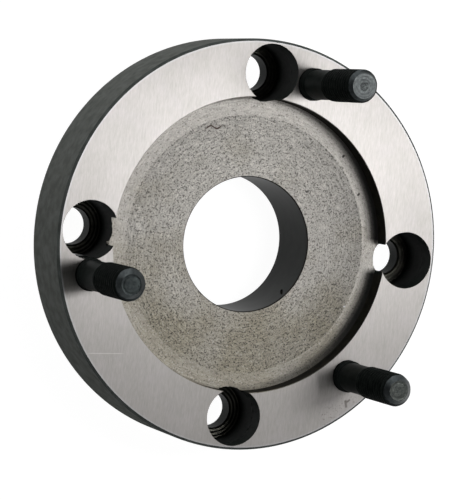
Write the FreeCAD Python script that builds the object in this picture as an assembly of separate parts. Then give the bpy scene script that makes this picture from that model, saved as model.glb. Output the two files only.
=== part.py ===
import FreeCAD, Part
import math
import os

# Chuck backplate: a turned disc with a register boss below and a register recess above.
# Four counterbored screw holes hold the chuck and three studs hold the plate to the spindle.
# Frame: millimetres, Z along the turning axis with the studs pointing up,
# origin at the centre of the boss's end face, X through the first screw hole.

# Register: the boss centres the chuck, and the recess sits over the spindle flange
register_diameter = 72.0
boss_height = 3.0
boss_edge_break = 0.5
recess_depth = 4.0
recess_edge_break = 0.15

# Rim round the register, and the metal left between it and each counterbore
rim_thickness = 18.0
rim_wall = 1.0
rim_edge_break = 0.6

# Relief turned round the foot of the recess wall, a little below the seating floor
relief_width = 4.5
relief_drop = 0.3
relief_slope = 0.5
relief_corner = 0.4

# Through bore
bore_diameter = 33.0
bore_edge_break = 0.2

# Screw holes for the chuck, whose counterbores cut into the recess by the overlap
screw_count = 4
screw_hole_diameter = 9.0
screw_hole_edge_break = 0.4
counterbore_diameter = 14.0
counterbore_depth = 13.0
counterbore_overlap = 1.0

# Studs for the spindle flange, on the same pitch circle as the screw holes
stud_first_angle = 74.5
stud_thread_diameter = 7.9
stud_waist_diameter = 7.2
stud_length = 35.0
stud_plate_thread_length = 10.0
stud_nut_thread_length = 16.0
stud_shoulder_slope = 0.4
stud_foot_chamfer = 1.0
stud_hole_clearance = 0.05

# Each stud's height above the ring face and the chamfer of its tip
studs = {
    "stud_upper_right": {"reach": 27.8, "tip_chamfer": 1.0},
    "stud_left": {"reach": 26.6, "tip_chamfer": 1.5},
    "stud_lower_right": {"reach": 27.8, "tip_chamfer": 1.5},
}

# Diameters that follow from the sizes above
pitch_circle_diameter = register_diameter + counterbore_diameter - 2 * counterbore_overlap
plate_diameter = pitch_circle_diameter + counterbore_diameter + 2 * rim_wall

# Heights that follow from the sizes above
rim_back_z = boss_height
ring_face_z = boss_height + rim_thickness
recess_floor_z = ring_face_z - recess_depth
relief_floor_z = recess_floor_z - relief_drop
counterbore_floor_z = ring_face_z - counterbore_depth

# Length by which a cutting tool runs past the face it cuts
overrun = 1.0


def revolved(profile):
    """Solid turned about Z from a closed outline of (radius, height) points."""
    corners = [FreeCAD.Vector(radius, 0, height) for radius, height in profile]
    outline = Part.makePolygon(corners + corners[:1])
    axis_point = FreeCAD.Vector(0, 0, 0)
    axis_direction = FreeCAD.Vector(0, 0, 1)
    return Part.Face(outline).revolve(axis_point, axis_direction, 360)


def on_pitch_circle(shape, angle):
    """Copy of a shape made on the Z axis, moved out to the pitch circle at an angle in degrees."""
    turn = math.radians(angle)
    radius = pitch_circle_diameter / 2
    copy = shape.copy()
    copy.translate(FreeCAD.Vector(radius * math.cos(turn), radius * math.sin(turn), 0))
    return copy


def turned_disc():
    """Disc with its boss, rim, recess, relief and bore, all from one outline."""
    plate_r = plate_diameter / 2
    register_r = register_diameter / 2
    relief_r = register_r - relief_width
    bore_r = bore_diameter / 2
    return revolved([
        (bore_r + bore_edge_break, 0),
        (register_r - boss_edge_break, 0),
        (register_r, boss_edge_break),
        (register_r, rim_back_z),
        (plate_r - rim_edge_break, rim_back_z),
        (plate_r, rim_back_z + rim_edge_break),
        (plate_r, ring_face_z - rim_edge_break),
        (plate_r - rim_edge_break, ring_face_z),
        (register_r + recess_edge_break, ring_face_z),
        (register_r, ring_face_z - recess_edge_break),
        (register_r, relief_floor_z + relief_corner),
        (register_r - relief_corner, relief_floor_z),
        (relief_r + relief_slope, relief_floor_z),
        (relief_r, recess_floor_z),
        (bore_r + bore_edge_break, recess_floor_z),
        (bore_r, recess_floor_z - bore_edge_break),
        (bore_r, bore_edge_break),
    ])


def screw_hole():
    """Counterbore over a clearance hole, with broken edges at both ends of the hole."""
    hole_r = screw_hole_diameter / 2
    counterbore_r = counterbore_diameter / 2
    wide_r = hole_r + screw_hole_edge_break
    return revolved([
        (0, rim_back_z - overrun),
        (wide_r, rim_back_z - overrun),
        (wide_r, rim_back_z),
        (hole_r, rim_back_z + screw_hole_edge_break),
        (hole_r, counterbore_floor_z - screw_hole_edge_break),
        (wide_r, counterbore_floor_z),
        (counterbore_r, counterbore_floor_z),
        (counterbore_r, ring_face_z + overrun),
        (0, ring_face_z + overrun),
    ])


def stud_hole():
    """Tapped hole through the rim, drawn plain at the size that clears the stud's thread."""
    hole_r = stud_thread_diameter / 2 + stud_hole_clearance
    return revolved([
        (0, rim_back_z - overrun),
        (hole_r, rim_back_z - overrun),
        (hole_r, ring_face_z + overrun),
        (0, ring_face_z + overrun),
    ])


def stud(reach, tip_chamfer):
    """Stud on the Z axis, from its tip down: thread for the nut, slimmer waist, thread for the plate."""
    thread_r = stud_thread_diameter / 2
    waist_r = stud_waist_diameter / 2
    tip_z = ring_face_z + reach
    foot_z = tip_z - stud_length
    waist_low_z = foot_z + stud_plate_thread_length
    waist_high_z = tip_z - stud_nut_thread_length
    return revolved([
        (0, tip_z),
        (thread_r - tip_chamfer, tip_z),
        (thread_r, tip_z - tip_chamfer),
        (thread_r, waist_high_z + stud_shoulder_slope),
        (waist_r, waist_high_z),
        (waist_r, waist_low_z),
        (thread_r, waist_low_z - stud_shoulder_slope),
        (thread_r, foot_z + stud_foot_chamfer),
        (thread_r - stud_foot_chamfer, foot_z),
        (0, foot_z),
    ])


def stud_angle(index):
    """Angle of a stud on its pitch circle, the studs being evenly spaced."""
    return stud_first_angle + index * 360 / len(studs)


def backplate():
    """Turned disc with its screw holes and tapped stud holes cut through the rim."""
    screw_angles = [index * 360 / screw_count for index in range(screw_count)]
    cuts = [on_pitch_circle(screw_hole(), angle) for angle in screw_angles]
    cuts += [on_pitch_circle(stud_hole(), stud_angle(index)) for index in range(len(studs))]
    return turned_disc().cut(cuts)


os.makedirs("parts", exist_ok=True)
backplate().exportStep("parts/backplate.step")
for index, (name, sizes) in enumerate(studs.items()):
    placed = on_pitch_circle(stud(sizes["reach"], sizes["tip_chamfer"]), stud_angle(index))
    placed.exportStep("parts/" + name + ".step")
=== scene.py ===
import bpy
import math
import numpy as np
from mathutils import Matrix, Vector


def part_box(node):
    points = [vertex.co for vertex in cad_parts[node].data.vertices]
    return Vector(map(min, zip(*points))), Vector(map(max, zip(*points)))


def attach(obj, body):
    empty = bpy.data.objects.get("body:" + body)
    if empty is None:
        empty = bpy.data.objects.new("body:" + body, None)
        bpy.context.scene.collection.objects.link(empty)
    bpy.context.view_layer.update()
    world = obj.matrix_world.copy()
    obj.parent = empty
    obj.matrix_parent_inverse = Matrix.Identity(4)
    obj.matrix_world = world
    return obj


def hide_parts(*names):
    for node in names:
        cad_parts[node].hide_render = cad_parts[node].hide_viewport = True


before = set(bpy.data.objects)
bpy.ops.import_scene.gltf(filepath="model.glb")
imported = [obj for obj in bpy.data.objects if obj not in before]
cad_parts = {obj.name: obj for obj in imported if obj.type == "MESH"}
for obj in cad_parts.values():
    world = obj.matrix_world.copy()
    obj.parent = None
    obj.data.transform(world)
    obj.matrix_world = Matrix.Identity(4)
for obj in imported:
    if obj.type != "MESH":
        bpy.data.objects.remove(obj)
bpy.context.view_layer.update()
mm = 0.001  # sizes below are in millimetres, and Blender's are in metres
print("frame loaded:", sorted(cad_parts))


# Small tools

def linear(hexColour):
    # sRGB hex to linear light: v / 12.92 in the darkest tones, ((v + 0.055) / 1.055) ** 2.4 above them
    tones = [int(hexColour[i:i + 2], 16) / 255 for i in (1, 3, 5)]
    return [v / 12.92 if v <= 0.04045 else ((v + 0.055) / 1.055) ** 2.4 for v in tones] + [1.0]


def smooth(low, high, x):
    # 0 below low, 1 above high and 3 t^2 - 2 t^3 between them
    t = np.clip((x - low) / (high - low), 0, 1)
    return t * t * (3 - 2 * t)


def polar(radius, degrees):
    # Place of a point at that radius and angle
    return radius * math.cos(math.radians(degrees)), radius * math.sin(math.radians(degrees))


def per(size):
    # Scale at which a pattern has one grain every size mm
    return 1 / (size * mm)


def meshPiece(name, points, faceGroups):
    # points in mm; faceGroups are whole arrays of corner numbers, one array for each kind of face
    mesh = bpy.data.meshes.new(name)
    corners = np.concatenate([group.ravel() for group in faceGroups]).astype(np.int32)
    sizes = np.concatenate([np.full(len(group), group.shape[1]) for group in faceGroups])
    mesh.vertices.add(len(points))
    mesh.vertices.foreach_set("co", (points * mm).astype(np.float32).ravel())
    mesh.loops.add(len(corners))
    mesh.loops.foreach_set("vertex_index", corners)
    mesh.polygons.add(len(sizes))
    mesh.polygons.foreach_set("loop_start", (np.cumsum(sizes) - sizes).astype(np.int32))
    mesh.polygons.foreach_set("use_smooth", np.ones(len(sizes), bool))
    mesh.update(calc_edges=True)
    piece = bpy.data.objects.new(name, mesh)
    bpy.context.scene.collection.objects.link(piece)
    return piece


def ringSurface(name, rings, closedProfile):
    # rings is rows x segments x 3. Point (i, j) joins (i, j + 1) round its ring and (i + 1, j) along the
    # profile. A closed profile runs from the last row back to the first, and an open one ends in two fans
    rows, segments = rings.shape[:2]
    index = np.arange(rows * segments).reshape(rows, segments)
    along = np.vstack([index, index[:1]]) if closedProfile else index
    low, high = along[:-1], along[1:]
    quads = np.stack([low, np.roll(low, -1, 1), np.roll(high, -1, 1), high], -1).reshape(-1, 4)
    points = rings.reshape(-1, 3)
    if closedProfile:
        return meshPiece(name, points, [quads])
    start, end = np.full(segments, rows * segments), np.full(segments, rows * segments + 1)
    points = np.vstack([points, rings[0].mean(0), rings[-1].mean(0)])
    first, last = index[0], index[-1]
    fans = np.vstack([
        np.stack([start, np.roll(first, -1), first], -1),
        np.stack([last, np.roll(last, -1), end], -1),
    ])
    return meshPiece(name, points, [quads, fans])


def turnedRings(profile, segments, centre=(0, 0)):
    # A lathe: each (radius, height) of the profile becomes a ring of points (x, y, z) about the centre
    radius, height = np.array(profile, float).T
    turn = np.linspace(0, 2 * math.pi, segments, endpoint=False)
    x = centre[0] + np.outer(radius, np.cos(turn))
    y = centre[1] + np.outer(radius, np.sin(turn))
    return np.stack([x, y, np.repeat(height[:, None], segments, 1)], -1)


def faceValues(mesh):
    # Centre in mm and normal of each face, as whole arrays
    centres = np.zeros(len(mesh.polygons) * 3, np.float32)
    normals = np.zeros(len(mesh.polygons) * 3, np.float32)
    mesh.polygons.foreach_get("center", centres)
    mesh.polygons.foreach_get("normal", normals)
    return centres.reshape(-1, 3) / mm, normals.reshape(-1, 3)


# Camera, at the photo's viewing angle

camera = {
    "lookAt": (-0.444, -1.850, 11.951),
    "distance": 583.1,
    "azimuth": 95.07,      # of the view direction, from +Y towards +X
    "elevation": 66.05,
    "roll": -101.04,       # of the picture's upright about the view direction
    "focalLength": 170.86, "sensorWidth": 36.0,
    "clip": (0.05, 20),    # nearest and farthest distance that it sees, in metres
}


def makeCamera():
    # forward comes from azimuth and elevation, and upright is level turned about forward by the roll
    azimuth, elevation, roll = (math.radians(camera[key]) for key in ("azimuth", "elevation", "roll"))
    forward = Vector((math.cos(elevation) * math.sin(azimuth),
                      math.cos(elevation) * math.cos(azimuth), -math.sin(elevation)))
    level = (Vector((0, 0, 1)) - forward * forward.z).normalized()
    upright = level * math.cos(roll) + forward.cross(level) * math.sin(roll)
    turn = Matrix((forward.cross(upright), upright, -forward)).transposed().to_4x4()
    data = bpy.data.cameras.new("camera")
    data.lens, data.sensor_width = camera["focalLength"], camera["sensorWidth"]
    data.clip_start, data.clip_end = camera["clip"]
    seat = bpy.data.objects.new("camera", data)
    spot = Vector(camera["lookAt"]) - forward * camera["distance"]
    seat.matrix_world = Matrix.Translation(spot * mm) @ turn
    bpy.context.scene.collection.objects.link(seat)
    bpy.context.scene.camera = seat


# Materials

def addNode(tree, kind, *values, **settings):
    # One node with its settings, and its open inputs filled in order. A value is plain, or a socket, or
    # a node whose first open output is linked. None leaves an input as it is
    made = tree.nodes.new("ShaderNode" + kind)
    for key, value in settings.items():
        setattr(made, key, value)
    for socket, value in zip([one for one in made.inputs if one.enabled], values):
        if isinstance(value, bpy.types.Node):
            value = next(one for one in value.outputs if one.enabled)
        if isinstance(value, bpy.types.NodeSocket):
            tree.links.new(value, socket)
        elif value is not None:
            socket.default_value = value
    return made


def startMaterial(name, sockets):
    # A material with one surface shader, the plain values set on its sockets, and the object's coordinates
    material = bpy.data.materials.new(name)
    material.use_nodes = True
    tree = material.node_tree
    shader = tree.nodes["Principled BSDF"]
    for key, value in sockets.items():
        shader.inputs[key].default_value = value
    return material, tree, shader, addNode(tree, "TexCoord").outputs["Object"]


def finishMaterial(tree, shader, colour, height, depth):
    # Joins the colour, and raises the shading by depth mm where the height is 1
    tree.links.new(colour.outputs[2], shader.inputs["Base Color"])
    bump = addNode(tree, "Bump", 1.0, depth * mm, None, height)
    tree.links.new(bump.outputs[0], shader.inputs["Normal"])


def fromAxis(tree, place):
    # The way from the plate's axis to the place, level and in mm
    return addNode(tree, "VectorMath", place, (per(1), per(1), 0), operation="MULTIPLY")


def strokeMark(tree, place, middle, turn, length, width, wave=0.0):
    # 1 on a stroke of that length and width in mm about its middle, and 0 off it. A wave bends it to a sine
    # of one and a half periods. It fades over the last 30 % of its length and the outer two thirds of its width
    centred = addNode(tree, "VectorMath", place, (middle[0] * mm, middle[1] * mm, 0), operation="SUBTRACT")
    turned = addNode(tree, "VectorRotate", centred, None, math.radians(-turn), rotation_type="Z_AXIS")
    axes = addNode(tree, "SeparateXYZ", turned)
    phase = addNode(tree, "Math", axes.outputs[0], 3 * math.pi / (length * mm), operation="MULTIPLY")
    sine = addNode(tree, "Math", phase, operation="SINE")
    bend = addNode(tree, "Math", sine, wave * mm, operation="MULTIPLY")
    across = addNode(tree, "Math", axes.outputs[1], bend, operation="ADD")
    away = addNode(tree, "Math", axes.outputs[0], operation="ABSOLUTE")
    inLength = addNode(tree, "MapRange", away, length * mm / 2, length * mm * 0.35)
    aside = addNode(tree, "Math", across, operation="ABSOLUTE")
    inWidth = addNode(tree, "MapRange", aside, width * mm / 2, width * mm / 6)
    return addNode(tree, "Math", inLength, inWidth, operation="MULTIPLY")


def markedColour(tree, colour, mask, strength, hexColour, way="MIX"):
    # The colour where the mask is 0, going over to the other by strength where it is 1
    share = addNode(tree, "Math", mask, strength, operation="MULTIPLY")
    return addNode(tree, "Mix", share, colour, linear(hexColour), data_type="RGBA", blend_type=way)


def groundIron():
    # Cast iron, ground flat on a surface grinder: fine straight lines all one way, which draw the gloss out
    # across them and leave it narrow along them, so the ring goes from bright to dull from top to bottom.
    # The real lines are finer than a pixel, and these are drawn about four times as coarse
    look = {
        "pale": "#BCB8B6", "dull": "#ABA8A4", "roughness": 0.466, "anisotropy": 0.506,
        "fineLine": (0.26, 1.7, 9), "longLine": (0.45, 5.0, 9), "longShare": 0.3, "lineDepth": 0.005,
        "cloud": 9, "cloudShare": 0.2, "contrast": (0.36, 0.64),
        "tinge": 5, "tingeRange": (0.5, 0.75), "pit": 0.6, "pitRange": (0.58, 0.68),
        # Strokes, each with its middle, turn, length and width: the scratch at the lower left, and the worn
        # and rusty place beside the lower right stud
        "scratch": ((-34.9, -28.85), 3.5, 10.0, 0.24),
        "worn": ((28.4, -37.6), 40.0, 15.0, 6.5),
        "rust": [((29.9, -36.9), 105.0, 2.2, 0.9), ((30.4, -36.2), 40.0, 1.6, 0.7)],
        # Painted shadow at the foot of each stud, with a green tint of old oil, laid on the side away from the
        # softbox: middle, turn, length, width and strength
        "studShadow": [(((-45.2, -11.7), 14.7, 10.0, 10.0), 0.7), (((25.2, -31.1), 14.7, 9.0, 8.0), 0.4),
                (((6.8, 38.8), 14.7, 7.0, 7.0), 0.35)],
        "edgeSheenRange": (48.9, 49.3),      # radii between which a painted bluish sheen pales the ring towards its broken edge
    }
    material, tree, shader, place = startMaterial("groundIron", {
        "Metallic": 1.0, "Roughness": look["roughness"], "Anisotropic": look["anisotropy"],
    })
    tree.links.new(addNode(tree, "CombineXYZ", 1.0, 0.0, 0.0).outputs[0], shader.inputs["Tangent"])
    lines = []
    for size, detail in ((look["fineLine"], 3), (look["longLine"], 2)):
        along = addNode(tree, "Mapping", place, None, None, [per(length) for length in size])
        lines.append(addNode(tree, "TexNoise", along, 1.0, detail, 0.6))
    drawn = addNode(tree, "Mix", look["longShare"], *lines)
    clouds = addNode(tree, "TexNoise", place, per(look["cloud"]), 2)
    tone = addNode(tree, "Mix", look["cloudShare"], drawn, clouds)
    share = addNode(tree, "MapRange", tone, *look["contrast"])
    colour = addNode(tree, "Mix", share, linear(look["dull"]), linear(look["pale"]), data_type="RGBA")
    tinge = addNode(tree, "TexNoise", place, per(look["tinge"]), 1)
    colour = markedColour(tree, colour, addNode(tree, "MapRange", tinge, *look["tingeRange"]), 0.1, "#BEB8BE")
    colour = markedColour(tree, colour, strokeMark(tree, place, *look["scratch"]), 0.4, "#EFEDEA")
    pits = addNode(tree, "TexNoise", place, per(look["pit"]), 2, 0.6)
    worn = addNode(tree, "Math", addNode(tree, "MapRange", pits, *look["pitRange"]),
                   strokeMark(tree, place, *look["worn"]), operation="MULTIPLY")
    colour = markedColour(tree, colour, worn, 0.5, "#5E544B")
    rust = addNode(tree, "Math", *(strokeMark(tree, place, *stroke) for stroke in look["rust"]),
                   operation="MAXIMUM")
    colour = markedColour(tree, colour, rust, 0.6, "#4C443D")
    # Painted shadows of the studs, falling away from the softbox
    for stroke, strength in look["studShadow"]:
        studShadow = strokeMark(tree, place, *stroke)
        colour = markedColour(tree, colour, studShadow, strength, "#3C4238", "MULTIPLY")
    # Painted highlight: the ring pales to a bluish white towards its outer edge
    radius = addNode(tree, "VectorMath", fromAxis(tree, place), operation="LENGTH")
    colour = markedColour(tree, colour, addNode(tree, "MapRange", radius, *look["edgeSheenRange"]), 0.3, "#D4D7DD")
    finishMaterial(tree, shader, colour, drawn, look["lineDepth"])
    return material


turned = {      # what the two turned finishes share, with sizes in mm
    "feed": 0.36, "arcs": 110.0, "arcShare": 0.5, "contrast": (0.34, 0.66),
    "stainSize": 14, "stainFall": (16, -26), "stainShift": (-0.22, 0.2), "stainRange": (0.35, 0.75),
    "glintSize": 0.47, "glintRange": (0.62, 0.74),
    "scoreRange": (0.58, 0.66), "patchSize": 5, "patchRange": (0.5, 0.62),
    "speckSize": 0.45, "speckFade": 0.07, "speckLeast": 0.85, "speckDepth": 0.6,
    "paintedShadeColour": "#2A2824", "paintedShadeStrength": 0.9, "gapFade": 0.8,
}


def turnedIron(name, ownLook):
    # Cast iron, turned with a coarse feed and left as cut: graphite and torn grains show as dark specks
    # between grey ones, faint arcs follow the tool, and old oil tints one side green and brown
    look = {**turned, **ownLook}
    material, tree, shader, place = startMaterial(name, {
        "Metallic": look["metallic"], "Roughness": look["roughness"],
    })
    away = fromAxis(tree, place)
    radius = addNode(tree, "VectorMath", away, operation="LENGTH")
    outward = addNode(tree, "VectorMath", away, operation="NORMALIZE")
    turns = addNode(tree, "Math", radius, look["feed"], operation="DIVIDE")
    feeds = addNode(tree, "CombineXYZ", 0.0, 0.0, turns)
    cells = look["arcs"] / (2 * math.pi)
    along = addNode(tree, "VectorMath", outward, (cells, cells, 0), feeds, operation="MULTIPLY_ADD")
    arcs = addNode(tree, "TexNoise", along, 1.0, 2, 0.6)
    grain = addNode(tree, "TexNoise", place, per(look["grain"]), 3, 0.75)
    tone = addNode(tree, "Mix", look["arcShare"], grain, arcs)
    share = addNode(tree, "MapRange", tone, *look["contrast"])
    colour = addNode(tree, "Mix", share, linear(look["dull"]), linear(look["pale"]), data_type="RGBA")
    # Stains: broad clouds, more of them down to the left
    broad = addNode(tree, "TexNoise", place, per(look["stainSize"]), 3)
    axes = addNode(tree, "SeparateXYZ", place)
    downLeft = addNode(tree, "MapRange", axes.outputs[1], *(y * mm for y in look["stainFall"]),
                       *look["stainShift"])
    stain = addNode(tree, "MapRange", addNode(tree, "Math", broad, downLeft, operation="ADD"),
                    *look["stainRange"])
    colour = markedColour(tree, colour, stain, look["stained"], look["stain"], "MULTIPLY")
    glints = addNode(tree, "TexNoise", place, per(look["glintSize"]), 1)
    glints = addNode(tree, "MapRange", glints, *look["glintRange"])
    colour = markedColour(tree, colour, glints, look["glints"], look["glint"])
    # Scored arcs, only where there are patches of them
    patches = addNode(tree, "TexNoise", place, per(look["patchSize"]), 2)
    scored = addNode(tree, "Math", addNode(tree, "MapRange", arcs, *look["scoreRange"]),
                     addNode(tree, "MapRange", patches, *look["patchRange"]), operation="MULTIPLY")
    colour = markedColour(tree, colour, scored, look["scored"], look["speck"])
    # Specks, a little fewer where the stains are few
    specks = addNode(tree, "TexNoise", place, per(look["speckSize"]), 2, 0.6)
    specks = addNode(tree, "MapRange", specks, look["speckFrom"], look["speckFrom"] + look["speckFade"])
    fewer = addNode(tree, "MapRange", stain, 0.0, 1.0, look["speckLeast"], 1.0)
    specks = addNode(tree, "Math", specks, fewer, operation="MULTIPLY")
    colour = markedColour(tree, colour, specks, look["specks"], look["speck"])
    for mark in look["marks"]:
        drawn = strokeMark(tree, place, mark["at"], mark["turn"], mark["length"], mark["width"], mark["wave"])
        colour = markedColour(tree, colour, drawn, mark["strength"], mark["colour"])
    # Painted shade between two radii, coming in on the right from one x to another, and only beyond the gap
    # from the x axis
    aside = addNode(tree, "Math", axes.outputs[1], operation="ABSOLUTE")
    for start, end, sideStart, sideEnd, gap in look["paintedShade"]:
        corner = addNode(tree, "MapRange", radius, start, end)
        side = addNode(tree, "MapRange", axes.outputs[0], sideStart * mm, sideEnd * mm)
        walled = addNode(tree, "MapRange", aside, (gap - look["gapFade"]) * mm, (gap + look["gapFade"]) * mm)
        paintedShade = addNode(tree, "Math", addNode(tree, "Math", corner, side, operation="MULTIPLY"), walled,
                       operation="MULTIPLY")
        colour = markedColour(tree, colour, paintedShade, look["paintedShadeStrength"], look["paintedShadeColour"], "MULTIPLY")
    sunk = addNode(tree, "Math", specks, look["speckDepth"], operation="MULTIPLY")
    height = addNode(tree, "Math", tone, sunk, operation="SUBTRACT")
    finishMaterial(tree, shader, colour, height, look["bump"])
    return material


def mottle(tree, shader, place, look, low, high):
    # The surface goes in clouds from the low colour to the high one, with a fine grain raised on it
    clouds = addNode(tree, "TexNoise", place, per(look["cloud"]), 3)
    share = addNode(tree, "MapRange", clouds, 0.35, 0.65)
    colour = addNode(tree, "Mix", share, linear(low), linear(high), data_type="RGBA")
    grain = addNode(tree, "TexNoise", place, per(look["grain"]), 2)
    finishMaterial(tree, shader, colour, grain, look["bump"])


def blackOxide(name, look):
    # Iron or steel, blacked in a hot bath: a thin dark skin with a low satin gloss, mottled where oil dried
    material, tree, shader, place = startMaterial(name, {
        "Metallic": 0.0, "Roughness": look["roughness"], "Specular IOR Level": look["gloss"],
    })
    mottle(tree, shader, place, look, look["deep"], look["worn"])
    return material


def facedSteel(name, look):
    # Bare metal faced in a lathe: grey, with a dull grain between the tool's rings, which are in the mesh
    material, tree, shader, place = startMaterial(name, {"Metallic": 1.0, "Roughness": look["roughness"]})
    mottle(tree, shader, place, look, look["dull"], look["pale"])
    return material


# Backplate

plate = {
    "segments": 384, "holeSegments": 144, "studHoleSegments": 96, "filletRings": 7, "sharpAngle": 24,
    "registerRadius": 36.0, "recessDepth": 4.0, "recessBreak": 0.15,
    "reliefWidth": 4.5, "reliefDrop": 0.3, "reliefFillet": 0.95,
    "reliefHold": 0.3,      # a ring of points that far inside the relief keeps the floor flat up to it
    "boreRadius": 16.5, "boreBreak": 0.2, "boreLip": 0.7,    # the lip is the band of painted shade below the edge
    "rimBack": 3.0, "rimBreak": 0.6, "bossBreak": 0.5,
    "pitchRadius": 42.0, "counterboreRadius": 7.0, "counterboreDepth": 13.0, "mouthBreak": 0.05,
    "holeRadius": 4.5, "holeBreak": 0.4, "studHoleRadius": 4.0,
    "screwAngles": [0, 90, 180, 270],
    "feedRing": 0.9, "feedPoints": 26,      # tool rings on the floors of the counterbores
    # Burr where a counterbore cuts the recess floor: how ragged, where its tooth is and how far it sticks
    # out, and then how deep the tool rings are
    "burrs": {180: (0.07, -24.0, 0.55, 0.1), 270: (0.07, 66.0, 0.4, 0.09), 0: (0.03, 205.0, 0.0, 0.025),
              90: (0.03, 250.0, 0.0, 0.03)},
    "burrWaves": [5, 9, 14, 22, 31, 43], "toothSpread": 0.09,
    "burrBelow": 0.9, "burrAbove": 0.5, "burrRings": 15, "burrSunk": 0.1, "burrSpread": 0.35,
    "burrClear": 2,         # the burr stays at least that far above the counterbore's floor
    "nickAngle": -42.0, "nickHeight": 14.0, "nickSize": 0.48, "nickLength": 2.8, "nickLean": 0.45,
    "nickReach": 1.35, "nickLobes": 0.3,
    "overrun": 1.0,
}


def plateProfile(plateRadius, ringZ):
    # The disc's whole section, anticlockwise: up the rim, in over the ring, down the bore, out under the
    # boss. The relief falls away in a shallow cone, and a quarter circle leads from it up the recess wall
    p = plate
    floorZ = ringZ - p["recessDepth"]
    reliefZ = floorZ - p["reliefDrop"]
    reliefRadius = p["registerRadius"] - p["reliefWidth"]
    quarter = np.linspace(0, math.pi / 2, p["filletRings"])
    fillet = zip(p["registerRadius"] - p["reliefFillet"] * (1 - np.cos(quarter)),
                 reliefZ + p["reliefFillet"] * (1 - np.sin(quarter)))
    return [
        (plateRadius, p["rimBack"] + p["rimBreak"]),
        (plateRadius, ringZ - p["rimBreak"]),
        (plateRadius - p["rimBreak"], ringZ),
        (p["registerRadius"] + p["recessBreak"], ringZ),
        (p["registerRadius"], ringZ - p["recessBreak"]),
        *fillet,
        (reliefRadius, floorZ),
        (reliefRadius - p["reliefHold"], floorZ),
        (p["boreRadius"] + p["boreBreak"], floorZ),
        (p["boreRadius"], floorZ - p["boreBreak"]),
        (p["boreRadius"], floorZ - p["boreLip"]),
        (p["boreRadius"], p["boreBreak"]),
        (p["boreRadius"] + p["boreBreak"], 0),
        (p["registerRadius"] - p["bossBreak"], 0),
        (p["registerRadius"], p["bossBreak"]),
        (p["registerRadius"], p["rimBack"]),
        (plateRadius - p["rimBreak"], p["rimBack"]),
    ]


def screwHoleTool(angle, ringZ):
    # A turned cutter: hole, edge break, floor with feed rings, counterbore wall. Where the wall meets the
    # recess floor, its radius is changed by waves of random phase and by one tooth, a Gaussian in angle
    p = plate
    ragged, toothAngle, tooth, feedDepth = p["burrs"][angle]
    floorZ = ringZ - p["counterboreDepth"]
    edgeZ = ringZ - p["recessDepth"] - p["reliefDrop"]
    feed = np.linspace(p["holeRadius"] + p["holeBreak"], p["counterboreRadius"], p["feedPoints"])
    wave = feedDepth * (1 - np.cos(2 * math.pi * (feed - feed[0]) / p["feedRing"])) / 2
    burrHeights = np.linspace(edgeZ - p["burrBelow"], edgeZ + p["burrAbove"], p["burrRings"])
    profile = [
        (p["holeRadius"] + p["holeBreak"] + p["overrun"], p["rimBack"] - p["overrun"]),
        (p["holeRadius"] + p["holeBreak"], p["rimBack"]),
        (p["holeRadius"], p["rimBack"] + p["holeBreak"]),
        (p["holeRadius"], floorZ - p["holeBreak"]),
        *zip(feed, floorZ + wave),
        *((p["counterboreRadius"], z) for z in burrHeights),
        (p["counterboreRadius"], ringZ - p["mouthBreak"]),
        (p["counterboreRadius"] + p["mouthBreak"], ringZ),
        (p["counterboreRadius"] + p["mouthBreak"] + p["overrun"], ringZ + p["overrun"]),
    ]
    centre = polar(p["pitchRadius"], angle)
    rings = turnedRings(profile, p["holeSegments"], centre)
    random = np.random.default_rng(7 + angle)
    turn = np.linspace(0, 2 * math.pi, p["holeSegments"], endpoint=False)
    counts = np.array(p["burrWaves"])
    waves = np.sin(np.outer(turn, counts) + random.uniform(0, 2 * math.pi, len(counts))).sum(1) / 2
    fromTooth = (turn - math.radians(toothAngle) + math.pi) % (2 * math.pi) - math.pi
    change = ragged * waves - tooth * np.exp(-(fromTooth / p["toothSpread"]) ** 2)
    heights = rings[:, 0, 2]
    near = np.exp(-((heights - edgeZ + p["burrSunk"]) / p["burrSpread"]) ** 2)
    near *= heights > floorZ + p["burrClear"]
    rings[..., :2] += (rings[..., :2] - centre) / p["counterboreRadius"] * (near[:, None] * change)[..., None]
    return ringSurface("screwHoleTool", rings, False)


def studHoleTool(centre, ringZ):
    # A plain round cutter through the rim
    p = plate
    profile = [(p["studHoleRadius"], p["rimBack"] - p["overrun"]), (p["studHoleRadius"], ringZ + p["overrun"])]
    return ringSurface("studHoleTool", turnedRings(profile, p["studHoleSegments"], centre), False)


def nickTool():
    # A small uneven slot in the bore's wall, drawn out in height and leaning aside. Its radius is
    # nickSize cos(lift) (1 + nickLobes sin 3 turn), and lift runs from near one pole to near the other
    p = plate
    x0, y0 = polar(p["boreRadius"], p["nickAngle"])
    lift, turn = np.meshgrid(np.linspace(-p["nickReach"], p["nickReach"], 12),
                             np.linspace(0, 2 * math.pi, 24, endpoint=False), indexing="ij")
    radius = p["nickSize"] * np.cos(lift) * (1 + p["nickLobes"] * np.sin(3 * turn))
    height = p["nickHeight"] + p["nickLength"] / 2 * np.sin(lift)
    leanX, leanY = polar(p["nickLean"] * (p["nickHeight"] - height), p["nickAngle"] + 90)
    return ringSurface("nickTool", np.stack([x0 + leanX + radius * np.cos(turn),
                                             y0 + leanY + radius * np.sin(turn), height], -1), False)


def cutAway(body, tools):
    # Subtracts each tool from the body in turn, then keeps the result as a plain mesh
    for tool in tools:
        cut = body.modifiers.new(tool.name, "BOOLEAN")
        cut.operation, cut.solver, cut.object = "DIFFERENCE", "EXACT", tool
    bpy.context.view_layer.update()
    evaluated = body.evaluated_get(bpy.context.evaluated_depsgraph_get())
    finished = bpy.data.meshes.new_from_object(evaluated)
    body.modifiers.clear()
    body.data = finished
    for tool in tools:
        bpy.data.objects.remove(tool)


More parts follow.
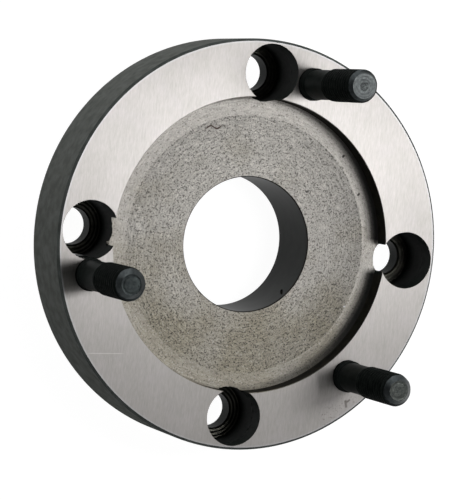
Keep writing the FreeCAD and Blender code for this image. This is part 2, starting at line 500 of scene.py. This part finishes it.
def backplatePiece():
    # The turned disc minus its seven hole cutters and the nick, at the height and radius of the solid's box
    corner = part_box("backplate")[1]
    plateRadius, ringZ = corner.x / mm, corner.z / mm
    disc = turnedRings(plateProfile(plateRadius, ringZ), plate["segments"])
    piece = ringSurface("backplate_finish", disc, True)
    studCentres = [studCentre(name) for name in studs["tips"]]
    tools = [screwHoleTool(angle, ringZ) for angle in plate["screwAngles"]]
    tools += [studHoleTool(centre, ringZ) for centre in studCentres]
    cutAway(piece, tools + [nickTool()])
    piece.data.set_sharp_from_angle(angle=math.radians(plate["sharpAngle"]))
    dressPlate(piece.data, plateRadius, ringZ, studCentres)
    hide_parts("backplate")
    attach(piece, "root")
    print("backplate made:", len(piece.data.polygons), "faces")


def plateFinishes():
    # One material for each kind of face. Marks have their middle, turn, length and width. Painted shade has the
    # two radii and the two x between which it comes in, and its gap
    squiggle = {"at": (-12.0, 27.4), "turn": 8.0, "length": 4.8, "width": 0.5, "wave": 0.35, "strength": 1.0,
                "colour": "#4A332B"}
    pit = {"at": (14.8, 14.4), "turn": 30.0, "length": 1.0, "width": 0.8, "wave": 0.0, "strength": 0.8,
           "colour": "#35322E"}
    glint = {"at": (28.5, -13.1), "turn": 0.0, "length": 0.8, "width": 0.6, "wave": 0.0, "strength": 0.9,
             "colour": "#FFFFFF"}
    secondGlint = {**glint, "at": (24.2, -20.6)}
    reliefPit = {"at": (23.6, 24.0), "turn": 50.0, "length": 1.0, "width": 0.8, "wave": 0.0, "strength": 0.95,
                 "colour": "#1E1C1A"}
    secondPit = {**reliefPit, "at": (23.6, 21.0), "strength": 0.6}
    thirdPit = {**reliefPit, "at": (28.9, 15.0)}
    return [
        groundIron(),
        turnedIron("roughTurnedIron", {
            "metallic": 0.5, "roughness": 0.62, "grain": 0.32, "bump": 0.03,
            "pale": "#EBE7E0", "dull": "#918E89", "speck": "#403C36", "speckFrom": 0.55, "specks": 0.8,
            "scored": 0.45, "glint": "#E8E5E0", "glints": 0.4, "stain": "#D0CBB9", "stained": 0.85,
            "marks": [squiggle, pit, glint, secondGlint],
            # Painted shade: the floor grows darker outwards on its right side
            "paintedShade": [(10.0, 80.0, 4.0, 28.0, -2.0)]}),
        turnedIron("fineTurnedIron", {
            "metallic": 0.6, "roughness": 0.53, "grain": 0.36, "bump": 0.02,
            "pale": "#D3CFC9", "dull": "#9E9A94", "speck": "#4A463F", "speckFrom": 0.58, "specks": 0.65,
            "scored": 0.3, "glint": "#F8F5F0", "glints": 0.3, "stain": "#DEDACB", "stained": 0.8,
            "marks": [reliefPit, secondPit, thirdPit],
            # Painted shade: the recess wall's shadow on the relief, cut off near the x axis where the
            # counterbores open the wall
            "paintedShade": [(31.8, 34.3, 8.0, 30.0, 3.6), (33.8, 35.2, -14.0, 30.0, 3.6)]}),
        facedSteel("turnedBackIron", {
            "roughness": 0.42, "dull": "#8C8986", "pale": "#ABA8A4", "cloud": 9.0, "grain": 0.5,
            "bump": 0.004}),
        blackOxide("blackedHoles", {
            "roughness": 0.5, "gloss": 0.05, "deep": "#0E1412", "worn": "#1B211E", "cloud": 2.0, "grain": 0.4,
            "bump": 0.006}),
        facedSteel("blackedHoleFloors", {
            "roughness": 0.4, "dull": "#3A3A35", "pale": "#4F4E48", "cloud": 1.5, "grain": 0.4,
            "bump": 0.006}),
        # Near-black skin that paints the shade of the recess wall and its fillet, the nick and the bore's lip
        blackOxide("paintedShadeBlack", {
            "roughness": 0.6, "gloss": 0.1, "deep": "#12110E", "worn": "#1F1D17", "cloud": 2.0, "grain": 0.4,
            "bump": 0.006}),
        blackOxide("blackedBore", {
            "roughness": 0.4, "gloss": 0.045, "deep": "#111513", "worn": "#1C201D", "cloud": 4.0, "grain": 0.4,
            "bump": 0.004}),
        blackOxide("blackedRim", {
            "roughness": 0.8, "gloss": 0.0, "deep": "#6A6D69", "worn": "#7A7D7A", "cloud": 2.2, "grain": 0.35,
            "bump": 0.004}),
        blackOxide("blackedEdge", {
            "roughness": 0.8, "gloss": 0.0, "deep": "#474B49", "worn": "#585C5A", "cloud": 3.0, "grain": 0.35,
            "bump": 0.004}),
    ]


def dressPlate(mesh, plateRadius, ringZ, studCentres):
    # Gives each face the first finish in the list that fits where it lies and which way it faces. Level faces
    # have a normal within 18 degrees of the axis, and the small lengths allow for rounding and for the burrs
    p = plate
    centres, normals = faceValues(mesh)
    x, y, z = centres.T
    up = normals[:, 2]
    level, slack = 0.95, 0.02
    radius = np.hypot(x, y)
    floorZ = ringZ - p["recessDepth"]
    reliefStart = p["registerRadius"] - p["reliefWidth"] - p["reliefHold"] / 2
    boreSide = p["boreRadius"] + p["boreBreak"] + 0.1
    screwCentres = [polar(p["pitchRadius"], angle) for angle in p["screwAngles"]]
    toScrew = np.min([np.hypot(x - cx, y - cy) for cx, cy in screwCentres], 0)
    toStud = np.min([np.hypot(x - cx, y - cy) for cx, cy in studCentres], 0)
    onHoleFloor = (toScrew < p["counterboreRadius"] + 0.3) & (toScrew > p["holeRadius"]) & (up > 0.5)
    inHole = (toScrew < p["counterboreRadius"] + 0.6) | (toStud < p["studHoleRadius"] + 0.1)
    inRecess = (z > floorZ - 0.5) & (z < ringZ - slack) & (radius < p["registerRadius"] + 0.2)
    kinds = [
        ("groundIron", (up > level) & (z > ringZ - slack)),
        ("roughTurnedIron", inRecess & (up > level) & (radius < reliefStart)),
        ("fineTurnedIron", inRecess & (up > 0.6) & (radius > reliefStart)),
        ("turnedBackIron", (up < -0.9) & (z < p["rimBack"] + 0.05)),
        ("blackedHoleFloors", onHoleFloor),
        ("blackedHoles", inHole & (z > p["rimBack"] - 0.01)),
        # Painted shade: the nick, the recess wall with its fillet and the lip of the bore get the same
        # near-black skin
        ("paintedShadeBlack", (radius < p["boreRadius"] + 1.5) & (radius > p["boreRadius"] + 0.3)),
        ("paintedShadeBlack", inRecess & (radius > p["registerRadius"] - p["reliefFillet"])),
        ("paintedShadeBlack", (radius < boreSide) & (z > floorZ - p["boreLip"])),
        ("blackedBore", radius < boreSide),
        ("turnedBackIron", (radius < p["registerRadius"] + 0.05) & (z < p["rimBack"])),
        ("blackedEdge", (radius > plateRadius - p["rimBreak"]) & (z > ringZ - p["rimBreak"])),
    ]
    mesh.materials.clear()
    for material in plateFinishes():
        mesh.materials.append(material)
    numbers = {material.name: number for number, material in enumerate(mesh.materials)}
    choices = np.select([fits for name, fits in kinds], [numbers[name] for name, fits in kinds],
                        numbers["blackedRim"])
    mesh.polygons.foreach_set("material_index", choices.astype(np.int32))
    mesh.polygons.foreach_set("use_smooth", np.ones(len(mesh.polygons), bool))
    mesh.update()


# Studs

studs = {
    "pitch": 1.25, "threadDepth": 0.68, "crestFlat": 0.125, "rootFlat": 0.25,
    "waistRadius": 3.6, "plateThread": 10.0, "nutThread": 16.0, "runout": 0.9,
    "footChamfer": 1.0, "segments": 72, "rowsPerPitch": 14, "sharpAngle": 40,
    "tipRows": 34, "tipHub": 0.06, "tipEdge": 0.15,     # rings of points, the last one's radius, the flat edge
    "tips": {   # chamfer, and radius, half width and depth of each ring that the tool left on the tip
        "stud_upper_right": (1.0, [(0.0, 0.22, 0.10), (0.75, 0.22, 0.12), (1.7, 0.25, 0.05),
                                   (2.4, 0.2, 0.05)]),
        "stud_left": (1.5, [(0.0, 0.6, 0.03), (2.05, 0.22, 0.06)]),
        "stud_lower_right": (1.5, [(0.0, 0.4, 0.03), (1.9, 0.3, 0.05)]),
    },
}


def studCentre(name):
    # Middle of the stud's box in x and y, in mm
    low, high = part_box(name)
    return (low.x + high.x) / 2 / mm, (low.y + high.y) / 2 / mm


def studPiece(name, finishes):
    # Thread radius = root + depth x flank, where flank is a triangle wave of (height - pitch x turn) / pitch
    # with its crest and root cut flat. It fades to the waist and is held under the cones of the two ends
    s = studs
    chamfer, tipRings = s["tips"][name]
    low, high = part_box(name)
    centre = studCentre(name)
    crest = (high.x - low.x) / 2 / mm
    footZ, tipZ = low.z / mm, high.z / mm
    tipFlat = crest - chamfer
    rows = int((tipZ - footZ) / s["pitch"] * s["rowsPerPitch"])
    z, turn = np.meshgrid(np.linspace(footZ, tipZ, rows),
                          np.linspace(0, 2 * math.pi, s["segments"], endpoint=False), indexing="ij")
    saw = (z / s["pitch"] - turn / (2 * math.pi)) % 1
    triangle = np.abs(2 * saw - 1)
    flank = np.clip((triangle - s["rootFlat"]) / (1 - s["rootFlat"] - s["crestFlat"]), 0, 1)
    thread = crest - s["threadDepth"] * (1 - flank)
    waistLow, waistHigh = footZ + s["plateThread"], tipZ - s["nutThread"]
    waisted = smooth(waistLow - s["runout"], waistLow, z) * smooth(waistHigh + s["runout"], waistHigh, z)
    radius = thread * (1 - waisted) + s["waistRadius"] * waisted
    radius = np.minimum(radius, crest - s["footChamfer"] + (z - footZ))
    radius = np.minimum(radius, tipFlat + (tipZ - z))
    tipRadii = np.linspace(tipFlat, s["tipHub"], s["tipRows"])[1:]
    sunk = sum(depth * np.exp(-((tipRadii - at) / width) ** 2) for at, width, depth in tipRings)
    flatEnd = smooth(tipFlat, tipFlat - s["tipEdge"], tipRadii)
    radius = np.vstack([radius, np.repeat(tipRadii[:, None], s["segments"], 1)])
    z = np.vstack([z, np.repeat((tipZ - sunk * flatEnd)[:, None], s["segments"], 1)])
    turn = np.vstack([turn, np.repeat(turn[:1], len(tipRadii), 0)])
    rings = np.stack([centre[0] + radius * np.cos(turn), centre[1] + radius * np.sin(turn), z], -1)
    piece = ringSurface(name + "_threaded", rings, False)
    mesh = piece.data
    for material in finishes:
        mesh.materials.append(material)
    centres, normals = faceValues(mesh)
    fromAxis = np.hypot(centres[:, 0] - centre[0], centres[:, 1] - centre[1])
    onTip = (centres[:, 2] > tipZ - 0.25) & (fromAxis < tipFlat)
    onChamfer = (centres[:, 2] > tipZ - chamfer) & (normals[:, 2] > 0.45)
    mesh.polygons.foreach_set("material_index", np.select([onTip, onChamfer], [1, 2], 0).astype(np.int32))
    mesh.set_sharp_from_angle(angle=math.radians(s["sharpAngle"]))
    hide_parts(name)
    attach(piece, "root")
    print(name, "made:", len(mesh.polygons), "faces")


def makeStuds():
    # Blacked studs whose tips were faced afterwards. Each tip has its own tone, and the chamfers are dark
    blacked = blackOxide("blackedSteel", {
        "roughness": 0.5, "gloss": 0.045, "deep": "#0D1110", "worn": "#181C1A", "cloud": 1.5, "grain": 0.3,
        "bump": 0.008})
    tipTones = {"facedTipBright": ("#4E5152", "#636767"), "facedTipDark": ("#2A2E2F", "#3A3F3F"),
                "facedTipMiddle": ("#3D403F", "#505350")}
    tips = [facedSteel(name, {
        "roughness": 0.5, "dull": dull, "pale": pale, "cloud": 0.8, "grain": 0.25, "bump": 0.006,
    }) for name, (dull, pale) in tipTones.items()]
    chamfer = facedSteel("facedChamfer", {
        "roughness": 0.38, "dull": "#303435", "pale": "#3F4344", "cloud": 1.2, "grain": 0.3, "bump": 0.004})
    for name, tip in zip(studs["tips"], tips):
        studPiece(name, [blacked, tip, chamfer])


# Floor, world and lamps

stage = {
    "floorSize": 12000.0, "floorGlow": 0.96, "floorTint": "#757575",
    "ceiling": 0.05, "horizon": 1.5, "horizonFrom": 0.10, "horizonTo": 0.30,
    "target": (0, 0, 20),
    "lamps": {      # azimuth from +X towards +Y, elevation, distance, width, height, brightness of its face
        "softbox": (14.7, 66.8, 250.0, 54.0, 95.0, 12.8),
        "softboxHalo": (14.7, 66.8, 400.0, 420.0, 380.0, 0.2),
        "sideCard": (105.0, 22.0, 700.0, 900.0, 350.0, 1.9),
        "lowFill": (-50.0, 60.0, 600.0, 500.0, 400.0, 0.45),
    },
}


def makeFloor():
    # A pale sweep: it glows to the camera and in gloss, and its paper takes the object's shadow
    half = stage["floorSize"] / 2
    points = np.array([[-half, -half, 0], [half, -half, 0], [half, half, 0], [-half, half, 0]], float)
    floor = meshPiece("floor", points, [np.array([[0, 1, 2, 3]])])
    material = bpy.data.materials.new("paperSweep")
    material.use_nodes = True
    tree = material.node_tree
    tree.nodes.remove(tree.nodes["Principled BSDF"])
    rays = addNode(tree, "LightPath").outputs
    seen = addNode(tree, "Math", rays["Is Glossy Ray"], rays["Is Transmission Ray"], operation="MAXIMUM")
    seen = addNode(tree, "Math", rays["Is Camera Ray"], seen, operation="MAXIMUM")
    strength = addNode(tree, "Math", seen, stage["floorGlow"], operation="MULTIPLY")
    glow = addNode(tree, "Emission", None, strength)
    paper = addNode(tree, "BsdfDiffuse", linear(stage["floorTint"]))
    both = addNode(tree, "AddShader", glow, paper)
    tree.links.new(both.outputs[0], tree.nodes["Material Output"].inputs["Surface"])
    floor.data.materials.append(material)


def makeWorld():
    # White round the horizon, as a sweep's walls are, and dim overhead
    world = bpy.data.worlds.new("studio")
    world.use_nodes = True
    tree = world.node_tree
    height = addNode(tree, "SeparateXYZ", addNode(tree, "TexCoord").outputs["Generated"]).outputs[2]
    strength = addNode(tree, "MapRange", height, stage["horizonFrom"], stage["horizonTo"],
                       stage["horizon"], stage["ceiling"])
    tree.links.new(strength.outputs[0], tree.nodes["Background"].inputs["Strength"])
    tree.nodes["Background"].inputs["Color"].default_value = linear("#FFFFFF")
    bpy.context.scene.world = world


def makeLamps():
    # Each lamp is a flat panel that faces the plate. Its power is pi x area x the brightness of its face
    target = Vector(stage["target"])
    for name, (azimuth, elevation, distance, width, height, brightness) in stage["lamps"].items():
        across, upward = polar(distance, elevation)
        towards = Vector((*polar(across, azimuth), upward))
        data = bpy.data.lights.new(name, "AREA")
        data.shape, data.size, data.size_y = "RECTANGLE", width * mm, height * mm
        data.energy = math.pi * data.size * data.size_y * brightness
        lamp = bpy.data.objects.new(name, data)
        lamp.matrix_world = (Matrix.Translation((target + towards) * mm)
                             @ towards.to_track_quat("Z", "Y").to_matrix().to_4x4())
        lamp.visible_camera = False
        bpy.context.scene.collection.objects.link(lamp)


makeCamera()
print("camera set")
backplatePiece()
makeStuds()
makeFloor()
makeWorld()
makeLamps()
print("floor, world and lamps set")

bpy.context.scene.view_settings.view_transform = "Standard"
